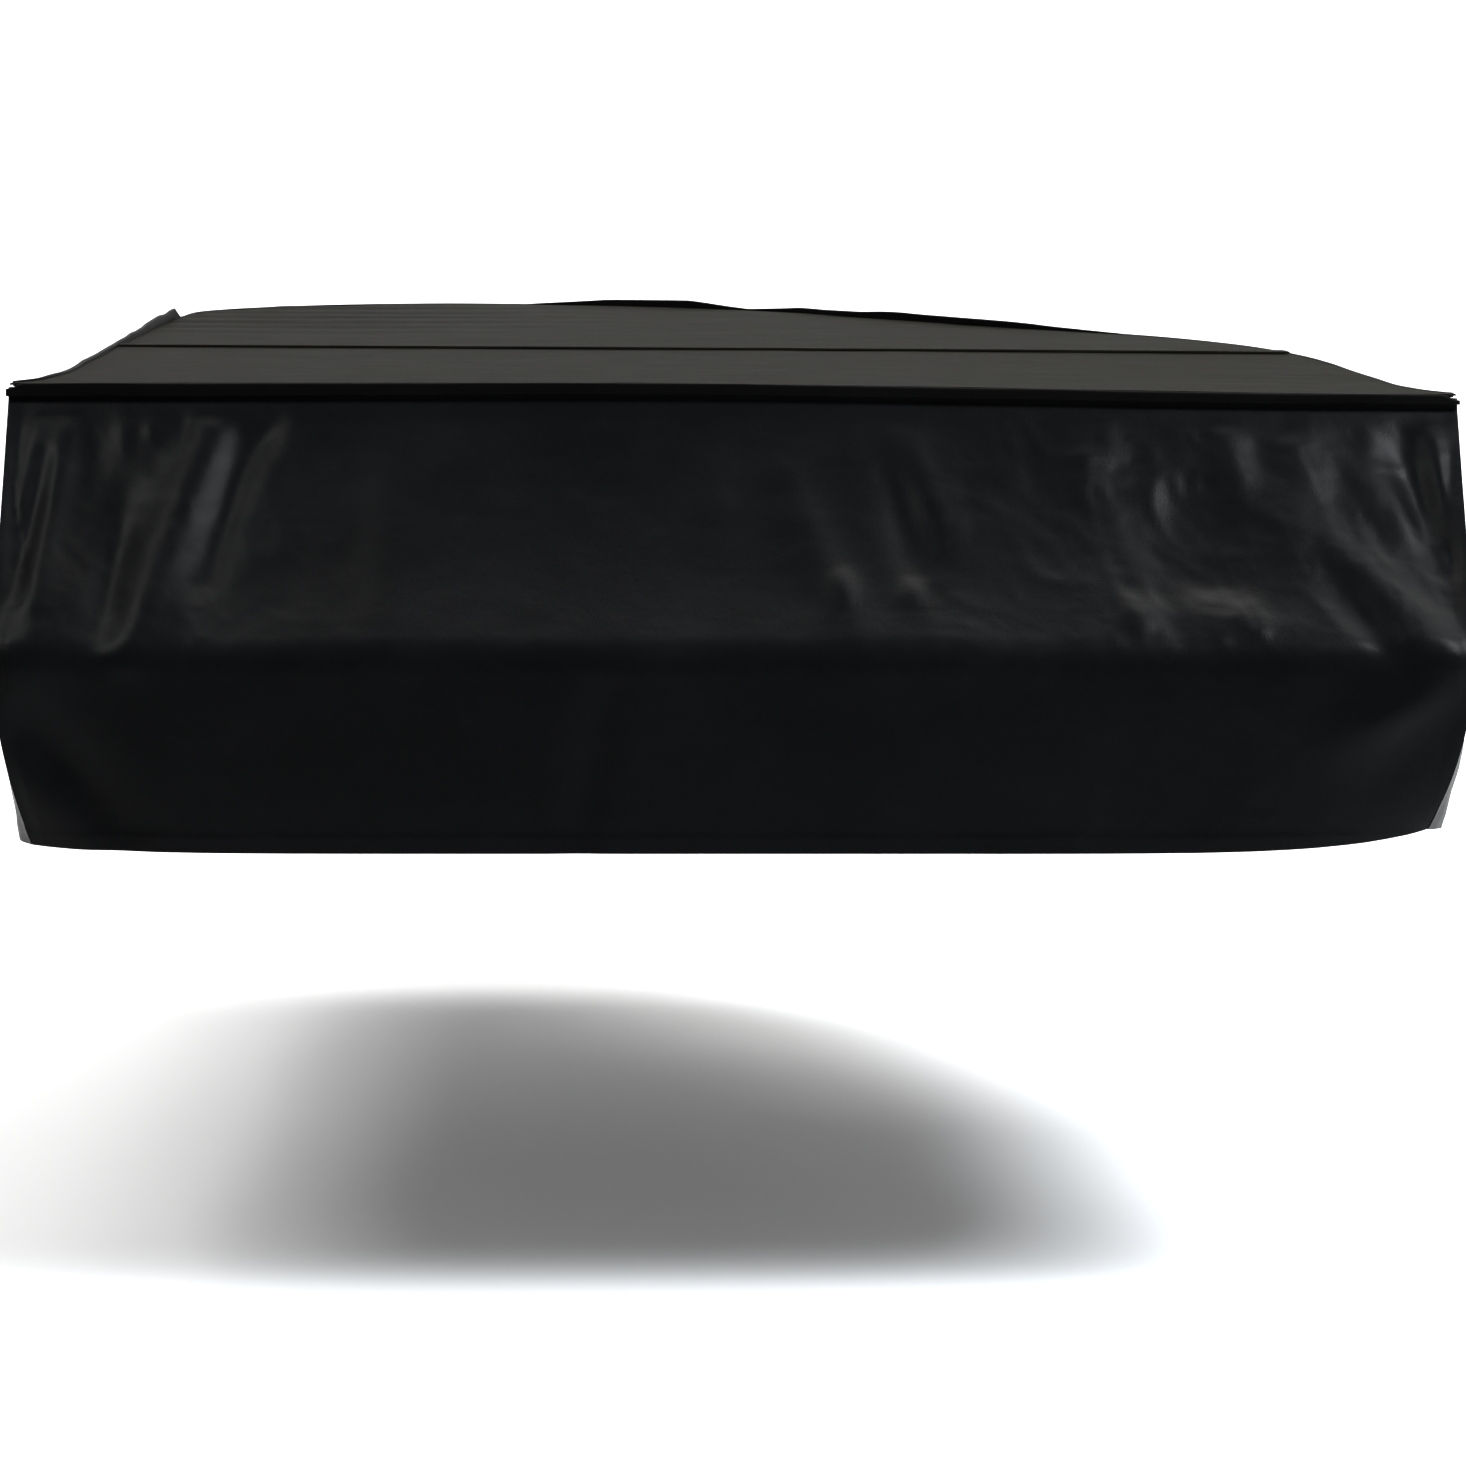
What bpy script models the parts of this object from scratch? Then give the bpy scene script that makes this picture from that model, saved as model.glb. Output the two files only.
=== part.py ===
"""Fitted dust cover for a grand piano, in soft black coated cloth.

The cover is hollow and open below. It lies on the piano's closed lid, drops in front from the lid's
edge to the key bed, where it breaks over the bed's front edge (the knee), and hangs to a hem just
below the piano's case. X runs to the treble side, Y to the tail and Z up. The origin is on the
underside of the top, where the lid carries it. "Behind" is a distance behind the lid's front edge.
"""

import bpy
import numpy as np

# Driving dimensions, metres
CLOTH = 0.002
SEAM_GAP = 0.0005
LID_FRONT_Y = -0.600
KNEE_REACH = 0.250
KNEE_Z = -0.250
HEM_Z = -0.455
KNEE_ROUND = 0.022
WELT_WIDTH = 0.005
WELT_FOOT_Z = -0.0025
SKIRT_TOP_Z = -0.0038
FRONT_END_INSET = 0.0075
TOP_EDGE_INSET = 0.0046
BAND_DEPTH = 0.0045
BAND_LEFT_HEIGHT = 0.014
BAND_RIGHT_HEIGHT = 0.0105
BAND_HALF_LENGTH = 0.765
SEAM_BEHIND_LEFT = 0.560
SEAM_BEHIND_RIGHT = 0.460
LAP = 0.012
LAP_RISE = 0.0024
LAP_RUN = 0.040
RIGHT_DIP = 0.012
PLAN_CENTRE_BEHIND = 0.450
FRONT_SAG = 0.010

# How the skirt stands at each station round the case, from the left front corner by the spine side,
# the tail and the bent side to the right front corner.
# Columns: name, across and behind at the lid's edge, across and behind at the knee's height,
# how far the hem is drawn in, how far the hem rises
STATIONS = (
    ("left front corner", -0.764, 0.006, -0.745, -0.250, 0.044, 0.004),
    ("left ear back", -0.741, 0.038, -0.752, -0.190, 0.024, 0.002),
    ("left lid edge", -0.728, 0.100, -0.755, -0.100, 0.012, 0.000),
    ("spine front", -0.727, 0.300, -0.753, 0.160, 0.006, 0.000),
    ("spine middle", -0.731, 0.650, -0.750, 0.580, 0.004, 0.003),
    ("spine rear", -0.728, 1.150, -0.748, 1.140, 0.005, 0.000),
    ("rear left corner", -0.712, 1.270, -0.734, 1.285, 0.006, -0.003),
    ("tail slope", -0.610, 1.380, -0.622, 1.402, 0.004, 0.000),
    ("tail crown", -0.430, 1.450, -0.433, 1.474, 0.002, 0.004),
    ("tail right", -0.180, 1.400, -0.172, 1.424, 0.003, 0.001),
    ("tail shoulder", 0.040, 1.280, 0.055, 1.300, 0.005, -0.003),
    ("bent side high", 0.180, 1.110, 0.199, 1.124, 0.004, 0.000),
    ("bent side hollow", 0.330, 0.935, 0.350, 0.948, 0.002, 0.004),
    ("bent side low", 0.500, 0.765, 0.519, 0.776, 0.003, 0.001),
    ("bent side end", 0.605, 0.580, 0.629, 0.575, 0.005, -0.002),
    ("cheek rear", 0.665, 0.400, 0.692, 0.350, 0.006, 0.001),
    ("cheek", 0.700, 0.200, 0.729, 0.070, 0.008, 0.003),
    ("right lid edge", 0.722, 0.085, 0.747, -0.100, 0.016, 0.006),
    ("right ear back", 0.742, 0.038, 0.750, -0.190, 0.028, 0.012),
    ("right front corner", 0.764, 0.006, 0.745, -0.250, 0.052, 0.019),
)

# Ridges (height above 0) and grooves (below 0) of the front drop.
# Columns: name, across and Z of its upper end, across and Z of its lower end, half width, height
FRONT_FOLDS = (
    ("left corner ridge", -0.700, -0.030, -0.712, -0.205, 0.016, 0.009),
    ("left corner groove", -0.664, -0.060, -0.668, -0.180, 0.020, -0.007),
    ("left knee ridge", -0.650, -0.110, -0.735, -0.285, 0.034, 0.010),
    ("left valley", -0.632, -0.100, -0.640, -0.235, 0.018, -0.010),
    ("long left ridge", -0.548, -0.045, -0.612, -0.250, 0.022, 0.013),
    ("left groove", -0.508, -0.028, -0.540, -0.180, 0.016, -0.010),
    ("left middle ridge", -0.352, -0.070, -0.356, -0.240, 0.022, 0.004),
    ("middle ridge", -0.028, -0.060, -0.018, -0.160, 0.022, 0.003),
    ("right middle crease", 0.050, -0.080, 0.125, -0.230, 0.020, 0.005),
    ("crumple ridge", 0.168, -0.050, 0.228, -0.135, 0.018, 0.006),
    ("crumple groove", 0.165, -0.075, 0.192, -0.190, 0.016, -0.006),
    ("right upper ridge", 0.520, -0.040, 0.528, -0.115, 0.018, 0.005),
    ("right dent", 0.440, -0.110, 0.500, -0.200, 0.040, -0.007),
    ("right long ridge", 0.560, -0.110, 0.715, -0.245, 0.024, 0.012),
    ("right diagonal groove", 0.598, -0.150, 0.662, -0.243, 0.018, -0.010),
    ("right corner groove", 0.700, -0.035, 0.722, -0.165, 0.016, -0.012),
    ("left low groove", -0.715, -0.310, -0.628, -0.438, 0.024, -0.012),
    ("left low ridge", -0.722, -0.360, -0.640, -0.450, 0.020, 0.008),
    ("right low ridge", 0.730, -0.270, 0.600, -0.345, 0.024, 0.007),
    ("right low groove", 0.725, -0.310, 0.640, -0.400, 0.026, -0.006),
    ("middle low crease", -0.128, -0.290, -0.158, -0.450, 0.020, -0.004),
)

# Hanging folds of the skirt, fading out upwards.
# Columns: name, distance round the skirt from the left front corner, half width, height at the hem
SKIRT_FOLDS = (
    ("left corner hollow", 0.130, 0.060, -0.012),
    ("spine first crest", 0.300, 0.070, 0.010),
    ("spine hollow", 0.620, 0.090, -0.008),
    ("spine second crest", 0.900, 0.080, 0.011),
    ("spine long hollow", 1.230, 0.080, -0.010),
    ("rear corner crest", 1.560, 0.060, 0.012),
    ("tail hollow", 1.740, 0.050, -0.012),
    ("tail crest", 1.930, 0.060, 0.012),
    ("tail second hollow", 2.120, 0.060, -0.010),
    ("shoulder crest", 2.340, 0.060, 0.013),
    ("bent hollow", 2.560, 0.070, -0.012),
    ("bent crest", 2.780, 0.060, 0.010),
    ("bent second hollow", 2.990, 0.070, -0.012),
    ("bent end crest", 3.190, 0.060, 0.011),
    ("cheek hollow", 3.400, 0.070, -0.009),
    ("cheek crest", 3.640, 0.070, 0.009),
    ("right corner hollow", 3.860, 0.050, -0.008),
)

# Height of the standing seam above the top, from the left front corner to the right one.
# Columns: distance round the lid's edge, height
WELT_HEIGHTS = (
    (0.00, 0.001),
    (0.10, 0.003),
    (0.60, 0.005),
    (1.05, 0.009),
    (1.27, 0.012),
    (1.33, 0.013),
    (1.37, 0.001),
    (2.05, 0.0005),
    (2.17, 0.008),
    (2.30, 0.010),
    (2.40, 0.002),
    (2.50, 0.007),
    (2.72, 0.011),
    (2.90, 0.008),
    (3.10, 0.001),
    (3.90, 0.001),
)

# Where each skirt panel begins and ends, by its stations, and how many points it has between
SKIRT_PANELS = (
    ("left_side_panel", "left front corner", "rear left corner", 22),
    ("tail_panel", "rear left corner", "tail shoulder", 15),
    ("bent_side_panel", "tail shoulder", "cheek rear", 17),
    ("right_side_panel", "cheek rear", "right front corner", 14),
)

COATED_CLOTH = ("coated cloth", (0.018, 0.019, 0.020), 0.42)
TOP_CLOTH = ("coated cloth, top", (0.024, 0.023, 0.021), 0.48)
WELT_CLOTH = ("coated cloth, welt", (0.010, 0.010, 0.010), 0.50)


def clear_scene():
    for thing in list(bpy.data.objects):
        bpy.data.objects.remove(thing, do_unlink=True)


def material(finish):
    name, colour, roughness = finish
    made = bpy.data.materials.get(name)
    if made is None:
        made = bpy.data.materials.new(name)
        made.use_nodes = True
        shader = made.node_tree.nodes["Principled BSDF"]
        shader.inputs["Base Color"].default_value = (*colour, 1.0)
        shader.inputs["Roughness"].default_value = roughness
        shader.inputs["Metallic"].default_value = 0.0
    return made


def add_object(name, points, faces, finish):
    mesh = bpy.data.meshes.new(name)
    mesh.from_pydata([tuple(p) for p in points], [], faces)
    mesh.materials.append(material(finish))
    mesh.shade_smooth()
    mesh.set_sharp_from_angle(angle=np.radians(50.0))
    thing = bpy.data.objects.new(name, mesh)
    bpy.context.scene.collection.objects.link(thing)
    return thing


def soft_step(value):
    """0 below 0, 1 above 1, and a smooth rise between."""
    part = np.clip(value, 0.0, 1.0)
    return part * part * (3.0 - 2.0 * part)


def smooth_rows(rows, knots, where):
    """Values of a smooth curve through the rows, each at its knot."""
    slopes = np.gradient(rows, knots, axis=0)
    index = np.clip(np.searchsorted(knots, where, side="right") - 1, 0, len(knots) - 2)
    span = (knots[index + 1] - knots[index])[:, None]
    part = ((where - knots[index]) / span[:, 0])[:, None]
    first = rows[index] * (1.0 + 2.0 * part) * (1.0 - part) ** 2
    second = rows[index + 1] * part**2 * (3.0 - 2.0 * part)
    leave = slopes[index] * span * part * (1.0 - part) ** 2
    arrive = slopes[index + 1] * span * part**2 * (part - 1.0)
    return first + second + leave + arrive


def station_knots():
    rows = np.array([row[1:] for row in STATIONS])
    steps = np.hypot(np.diff(rows[:, 2]), np.diff(rows[:, 3]))
    return rows, np.concatenate(([0.0], np.cumsum(steps)))


STATION_ROWS, STATION_KNOTS = station_knots()


def station_at(name):
    names = [row[0] for row in STATIONS]
    return STATION_KNOTS[names.index(name)]


def lid_edge(where, inset=0.0):
    """Plan points (across, behind) of the lid's edge at the given places, moved inwards by inset."""
    edge = smooth_rows(STATION_ROWS[:, :2], STATION_KNOTS, where)
    along = np.gradient(edge, axis=0)
    along /= np.linalg.norm(along, axis=1)[:, None]
    return edge + inset * np.column_stack((along[:, 1], -along[:, 0]))


def turning_places(first, last, count):
    """Places from first to last round the case, closer together where the lid's edge turns."""
    fine = np.linspace(first, last, 400)
    edge = smooth_rows(STATION_ROWS[:, :2], STATION_KNOTS, fine)
    heading = np.unwrap(np.arctan2(*np.gradient(edge, axis=0).T))
    turning = np.abs(np.gradient(heading))
    load = np.cumsum(1.0 / len(fine) + 0.45 * turning)
    load = (load - load[0]) / (load[-1] - load[0])
    return np.interp(np.linspace(0.0, 1.0, count), load, fine)


def drop_profile(parts):
    """Reach in front of the lid's edge, and Z, down the front drop, with the knee rounded.

    parts are shares of the way from the top edge (0) by the knee (1) to the hem (2)."""
    behind_band = (-0.001, -0.004)
    below_band = (-0.001, -0.0155)
    knee = (KNEE_REACH, KNEE_Z)
    hem = (KNEE_REACH, HEM_Z)
    slope = np.array(knee) - np.array(below_band)
    slope /= np.linalg.norm(slope)
    before = np.array(knee) - KNEE_ROUND * slope
    after = np.array((KNEE_REACH, KNEE_Z - KNEE_ROUND))
    turn = np.linspace(0.0, 1.0, 9)[:, None]
    arc = before * (1.0 - turn) ** 2 + 2.0 * turn * (1.0 - turn) * np.array(knee) + after * turn**2
    path = np.vstack((behind_band, below_band, arc, hem))
    lengths = np.concatenate(([0.0], np.cumsum(np.hypot(*np.diff(path, axis=0).T))))
    middle = lengths[6]
    want = np.interp(parts, (0.0, 1.0, 2.0), (0.0, middle, lengths[-1]))
    return np.interp(want, lengths, path[:, 0]), np.interp(want, lengths, path[:, 1])


def segment_folds(across, height, folds):
    """Sum of soft ridges and grooves, each falling off with distance from its centre line."""
    total = np.zeros_like(across)
    for _name, x0, z0, x1, z1, width, rise in folds:
        run = np.array((x1 - x0, z1 - z0))
        part = ((across - x0) * run[0] + (height - z0) * run[1]) / run.dot(run)
        near = np.clip(part, 0.0, 1.0)
        gap = np.hypot(across - x0 - near * run[0], height - z0 - near * run[1])
        total += rise * np.exp(-((gap / width) ** 2))
    return total


def settle(grid):
    """The top sags a little towards its right front corner, and all cloth near it follows."""
    across = grid[..., 0]
    behind = grid[..., 1] - LID_FRONT_Y
    near_top = np.clip(1.0 + grid[..., 2] / 0.25, 0.0, 1.0)
    dip = RIGHT_DIP * soft_step((across + 0.15) / 0.9) * soft_step(1.0 - behind / 0.6)
    moved = grid.copy()
    moved[..., 2] -= dip * near_top
    return moved


def normals(grid):
    """Unit normals of a grid of points, to the side that its first and second directions give."""
    first = np.gradient(grid, axis=0)
    second = np.gradient(grid, axis=1)
    cross = np.cross(first, second)
    return cross / np.linalg.norm(cross, axis=2)[..., None]


def cloth_sheet(name, outer, finish):
    """A closed sheet CLOTH thick: the outer grid, its inner copy and the four edges."""
    inner = outer - CLOTH * normals(outer)
    rows, columns = outer.shape[:2]
    points = np.concatenate((outer.reshape(-1, 3), inner.reshape(-1, 3)))
    count = rows * columns

    def at(i, j):
        return i * columns + j

    faces = []
    for i in range(rows - 1):
        for j in range(columns - 1):
            quad = (at(i, j), at(i + 1, j), at(i + 1, j + 1), at(i, j + 1))
            faces.append(quad)
            faces.append(tuple(count + k for k in reversed(quad)))
    border = [at(i, 0) for i in range(rows)]
    border += [at(rows - 1, j) for j in range(1, columns)]
    border += [at(i, columns - 1) for i in range(rows - 2, -1, -1)]
    border += [at(0, j) for j in range(columns - 2, 0, -1)]
    for here, there in zip(border, border[1:] + border[:1]):
        faces.append((there, here, count + here, count + there))
    return add_object(name, points, faces, finish)


def cloth_strip(name, centres, sides, ups, section, finish):
    """A closed strip: a section (sideways, upwards) carried along its centres, with flat ends."""
    count = len(section[0])
    rings = centres[:, None, :] + section[..., :1] * sides[:, None, :] + section[..., 1:] * ups[:, None, :]
    points = rings.reshape(-1, 3)
    faces = []
    for i in range(len(centres) - 1):
        for j in range(count):
            k = (j + 1) % count
            faces.append((i * count + j, i * count + k, (i + 1) * count + k, (i + 1) * count + j))
    last = (len(centres) - 1) * count
    faces.append(tuple(range(count - 1, -1, -1)))
    faces.append(tuple(last + j for j in range(count)))
    return add_object(name, points, faces, finish)


def skirt_point_grid(where, reach, height):
    """Skirt points at places round the case and heights down the drop, without folds."""
    rows = smooth_rows(STATION_ROWS, STATION_KNOTS, where)
    down = (reach / KNEE_REACH).clip(0.0, 1.0)[None, :, None]
    below = ((KNEE_Z - height) / (KNEE_Z - HEM_Z)).clip(0.0, 1.0)[None, :, None]
    top = rows[:, None, 0:2]
    knee = rows[:, None, 2:4]
    inward = np.array((0.0, PLAN_CENTRE_BEHIND)) - knee
    inward /= np.linalg.norm(inward, axis=2)[..., None]
    plan = top + (knee - top) * down + inward * rows[:, None, 4:5] * below**2
    lift = rows[:, None, 5] * below[..., 0] ** 2
    z = height[None, :] + lift
    return np.dstack((plan[..., 0], plan[..., 1] + LID_FRONT_Y, z))


def skirt_folds(where, height):
    """Hanging folds: crests and hollows round the skirt that grow from the lid's edge down."""
    growth = soft_step(-height / -HEM_Z)[None, :]
    total = np.zeros((len(where), len(height)))
    for _name, place, width, rise in SKIRT_FOLDS:
        total += rise * np.exp(-(((where - place) / width) ** 2))[:, None] * growth
    ends = soft_step(where / 0.05) * soft_step((STATION_KNOTS[-1] - where) / 0.05)
    return total * ends[:, None]


def add_skirt_panels():
    parts = np.array((0.033, 0.20, 0.55, 0.90, 1.0, 1.10, 1.5, 2.0))
    reach, height = drop_profile(parts)
    reach = np.concatenate(([0.0], reach))
    height = np.concatenate(([SKIRT_TOP_Z], height))
    for name, first, last, columns in SKIRT_PANELS:
        where = turning_places(station_at(first) + SEAM_GAP, station_at(last) - SEAM_GAP, columns)
        grid = skirt_point_grid(where, reach, height)
        grid = grid + normals(grid) * skirt_folds(where, height)[..., None]
        cloth_sheet(name, settle(grid), COATED_CLOTH)


def add_front_panel():
    """The drop in front, from the right corner to the left one, between the side panels."""
    parts = np.concatenate(((0.0, 0.033), np.linspace(0.15, 0.90, 6), (0.96, 1.0, 1.04, 1.10)))
    parts = np.concatenate((parts, np.linspace(1.4, 2.0, 3)))
    reach, height = drop_profile(parts)
    corners = skirt_point_grid(STATION_KNOTS[[-1, 0]], reach, height)
    even = np.linspace(0.0, 1.0, 44)[:, None]
    side = even - 0.065 * np.sin(2.0 * np.pi * even)
    right = corners[0, :, 0] - FRONT_END_INSET
    left = corners[1, :, 0] + FRONT_END_INSET
    across = right * (1.0 - side) + left * side
    to_corner = np.abs(2.0 * side - 1.0) ** 8
    end_behind = np.where(side < 0.5, corners[0, :, 1], corners[1, :, 1])
    plane = LID_FRONT_Y - reach
    back = np.clip(end_behind - plane - STATION_ROWS[0, 1] * (1.0 - reach / KNEE_REACH), 0.0, 1.0)
    end_height = np.where(side < 0.5, corners[0, :, 2], corners[1, :, 2])
    y = plane + back * to_corner
    z = height + (end_height - height) * to_corner
    grid = np.dstack((across, y, z))
    inside = soft_step(side * (1.0 - side) / 0.025)
    sag = FRONT_SAG * np.sin(np.pi * np.clip(reach / KNEE_REACH, 0.0, 1.0))
    folds = segment_folds(across, z, FRONT_FOLDS) * soft_step((-0.02 - z) / 0.05)
    grid = grid + normals(grid) * ((folds - sag) * inside)[..., None]
    cloth_sheet("front_panel", settle(grid), COATED_CLOTH)


def chain_share(chain):
    """Share of the chain's length at each of its points."""
    lengths = np.concatenate(([0.0], np.cumsum(np.hypot(*np.diff(chain, axis=0).T))))
    return lengths / lengths[-1]


def four_sided_patch(front, rear, left, right):
    """Surface between four edges that share their corners: front and rear run across, the others back."""
    a = 0.5 * (chain_share(front) + chain_share(rear))[:, None, None]
    b = 0.5 * (chain_share(left) + chain_share(right))[None, :, None]
    between_front_rear = (1.0 - b) * front[:, None] + b * rear[:, None]
    between_sides = (1.0 - a) * left[None] + a * right[None]
    corners = (1.0 - a) * ((1.0 - b) * front[0] + b * rear[0])
    corners = corners + a * ((1.0 - b) * front[-1] + b * rear[-1])
    return between_front_rear + between_sides - corners


def edge_place(behind, side):
    """Place round the lid's edge that lies the given distance behind, on the left or right side."""
    spread = np.linspace(0.0, STATION_KNOTS[-1], 4001)
    edge = lid_edge(spread)
    half = spread < station_at("tail crown") if side == "left" else spread > station_at("tail crown")
    return spread[half][np.argmin(np.abs(edge[half, 1] - behind))]


def top_sheet(name, plan, rise):
    grid = np.dstack((plan[..., 0], plan[..., 1] + LID_FRONT_Y, CLOTH + rise))
    cloth_sheet(name, settle(grid), TOP_CLOTH)


def add_top_front_panel(left_seam, right_seam):
    """Strip from the lid's front edge to just behind the cross seam, under the main panel's lap."""
    rows = 10
    left = lid_edge(turning_places(0.0, left_seam, rows), TOP_EDGE_INSET)
    right = lid_edge(turning_places(right_seam, STATION_KNOTS[-1], rows), TOP_EDGE_INSET)[::-1]
    for chain in (left, right):
        chain[0, 1] = 0.5 * CLOTH
        chain[-1, 1] += 0.5 * LAP
    across = 14
    front = np.linspace(left[0], right[0], across)
    seam = np.linspace(left[-1], right[-1], across)
    plan = four_sided_patch(front, seam, left, right)
    top_sheet("top_front_panel", plan, np.zeros(plan.shape[:2]))


def add_top_rear_panel(left_seam, right_seam):
    """Main panel from the cross seam, where it laps over the front strip, to the tail."""
    corner = station_at("rear left corner")
    shoulder = station_at("tail shoulder")
    past_lap = LAP + 0.004
    rows = 12
    left_places = np.concatenate(([left_seam], turning_places(left_seam + past_lap, corner, rows)))
    right_places = np.concatenate((turning_places(shoulder, right_seam - past_lap, rows), [right_seam]))
    left = lid_edge(left_places, TOP_EDGE_INSET)
    right = lid_edge(right_places, TOP_EDGE_INSET)[::-1]
    rear = lid_edge(turning_places(corner, shoulder, 17), TOP_EDGE_INSET)
    rear[0] = left[-1]
    rear[-1] = right[-1]
    for chain in (left, right):
        chain[0, 1] -= 0.5 * LAP
    front = np.linspace(left[0], right[0], len(rear))
    plan = four_sided_patch(front, rear, left, right)
    seam = np.interp(plan[..., 0], (left[0, 0], right[0, 0]), (left[0, 1], right[0, 1]))
    rise = LAP_RISE * soft_step(1.0 - (plan[..., 1] - seam - 1.6 * LAP) / LAP_RUN)
    top_sheet("top_rear_panel", plan, rise)


def welt_section(width, foot, height):
    """Rounded upright section: sideways and upwards, counter-clockwise looking along the strip."""
    half = 0.5 * width
    brow = np.maximum(height - half, foot + 0.3 * (height - foot))
    ones = np.ones_like(height)
    sideways = (-half, -0.9 * half, 0.0, 0.9 * half, half, half, -half)
    upwards = (brow, height - 0.3 * half, height, height - 0.3 * half, brow, foot * ones, foot * ones)
    across = np.stack([s * ones for s in sideways], axis=1)
    return np.stack((across, np.stack(upwards, axis=1)), axis=2)


def add_side_welt(name, first, last, count):
    """Standing seam on the lid's edge, its height read from WELT_HEIGHTS."""
    where = turning_places(first, last, count)
    edge = lid_edge(where)
    along = np.gradient(edge, axis=0)
    along /= np.linalg.norm(along, axis=1)[:, None]
    centres = np.column_stack((edge[:, 0], edge[:, 1] + LID_FRONT_Y, np.zeros(count)))
    sides = np.column_stack((along[:, 1], -along[:, 0], np.zeros(count)))
    ups = np.tile((0.0, 0.0, 1.0), (count, 1))
    table = np.array(WELT_HEIGHTS)
    height = CLOTH + np.interp(where, table[:, 0], table[:, 1])
    section = welt_section(WELT_WIDTH, WELT_FOOT_Z, height)
    cloth_strip(name, settle(centres), sides, ups, section, WELT_CLOTH)


def add_front_welt():
    """Thick band along the lid's front edge, thinner to the right, its ends rounded down."""
    count = 26
    across = BAND_HALF_LENGTH * np.sin(0.5 * np.pi * np.linspace(-1.0, 1.0, count))
    share = 0.5 + 0.5 * across / BAND_HALF_LENGTH
    to_end = BAND_HALF_LENGTH - np.abs(across)
    tall = BAND_LEFT_HEIGHT + (BAND_RIGHT_HEIGHT - BAND_LEFT_HEIGHT) * share
    top = CLOTH - 0.006 * (1.0 - soft_step(to_end / 0.020))
    foot = CLOTH - tall
    depth = BAND_DEPTH
    centre_y = LID_FRONT_Y - SEAM_GAP - 0.5 * depth
    centres = np.column_stack((across, np.full(count, centre_y), np.zeros(count)))
    sides = np.tile((0.0, -1.0, 0.0), (count, 1))
    ups = np.tile((0.0, 0.0, 1.0), (count, 1))
    section = welt_section(depth, 0.0, top - foot)
    section[..., 1] += foot[:, None]
    cloth_strip("front_welt", settle(centres), sides, ups, section, WELT_CLOTH)


def build():
    clear_scene()
    left_seam = edge_place(SEAM_BEHIND_LEFT, "left")
    right_seam = edge_place(SEAM_BEHIND_RIGHT, "right")
    add_top_front_panel(left_seam, right_seam)
    add_top_rear_panel(left_seam, right_seam)
    add_front_panel()
    add_skirt_panels()
    add_front_welt()
    knob = station_at("rear left corner") + 0.010
    start = 0.012
    add_side_welt("left_welt", start, knob, 30)
    add_side_welt("right_welt", knob + 2.0 * SEAM_GAP, STATION_KNOTS[-1] - start, 54)


build()
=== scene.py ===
"""Looks of the fitted grand piano cover: soft black coated cloth over a left-out piano.

Every panel is a grid of points worked out with numpy and given the cloth's thickness. X runs to the
treble side, Y to the tail and Z up, in metres; "behind" is a distance behind the lid's front edge.
"""

import bpy
import numpy as np
from bpy.props import FloatProperty, FloatVectorProperty, PointerProperty
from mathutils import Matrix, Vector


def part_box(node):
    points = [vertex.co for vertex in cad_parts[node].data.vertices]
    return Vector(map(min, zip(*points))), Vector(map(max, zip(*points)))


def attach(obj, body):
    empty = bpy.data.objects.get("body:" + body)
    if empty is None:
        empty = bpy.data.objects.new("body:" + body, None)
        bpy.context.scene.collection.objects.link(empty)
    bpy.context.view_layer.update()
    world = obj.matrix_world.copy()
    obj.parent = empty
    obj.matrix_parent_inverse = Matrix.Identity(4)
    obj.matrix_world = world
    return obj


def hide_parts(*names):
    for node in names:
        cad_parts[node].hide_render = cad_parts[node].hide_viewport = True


bl_info = {
    "name": "Grand piano cover",
    "version": (1, 0, 0),
    "blender": (4, 5, 0),
    "location": "3D View > Sidebar > Piano Cover",
    "description": "Builds a fitted grand piano cover in soft black coated cloth",
    "category": "Object",
}

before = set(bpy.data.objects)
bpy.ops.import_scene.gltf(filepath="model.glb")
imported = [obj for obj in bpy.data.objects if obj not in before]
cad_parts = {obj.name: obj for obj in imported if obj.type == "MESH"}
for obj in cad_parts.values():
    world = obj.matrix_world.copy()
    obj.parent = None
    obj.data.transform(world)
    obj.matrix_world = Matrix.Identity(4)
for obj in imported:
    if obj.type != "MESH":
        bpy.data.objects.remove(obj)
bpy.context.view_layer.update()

BAND_LOW, BAND_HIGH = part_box("front_welt")
SEAM_GAP = 0.0005
LID_FRONT_Y = BAND_HIGH.y + SEAM_GAP
CLOTH = 0.002
KNEE_REACH = 0.250
KNEE_Z = -0.250
HEM_Z = -0.455
KNEE_ROUND = 0.022
WELT_WIDTH = 0.0045
WELT_FOOT_Z = -0.0025
SKIRT_TOP_Z = -0.0030
TOP_EDGE_INSET = 0.0030
SEAM_BEHIND_LEFT = 0.560
SEAM_BEHIND_RIGHT = 0.460
LAP = 0.012
LAP_RISE = 0.0030
LAP_RUN = 0.030
RIGHT_DIP = 0.012
PLAN_CENTRE_BEHIND = 0.450
FRONT_SAG = 0.010
HEM_DEPTH = 0.025
HEM_STEP = 0.0007
FOLD_SPREAD = 1.55
FOLD_RISE = 0.95
CORNER_FADE = 0.05
PANEL_GAP = 0.0003
FRONT_END_INSET = 0.0008
BAND_LEFT_HEIGHT = 0.0140
BAND_RIGHT_HEIGHT = 0.0105

# Reach in front of the lid's edge, and Z, of the front drop's upper edge and of the band's foot
DROP_TOP = (-0.001, -0.004)
DROP_BELOW_BAND = (-0.001, -0.0145)

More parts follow.
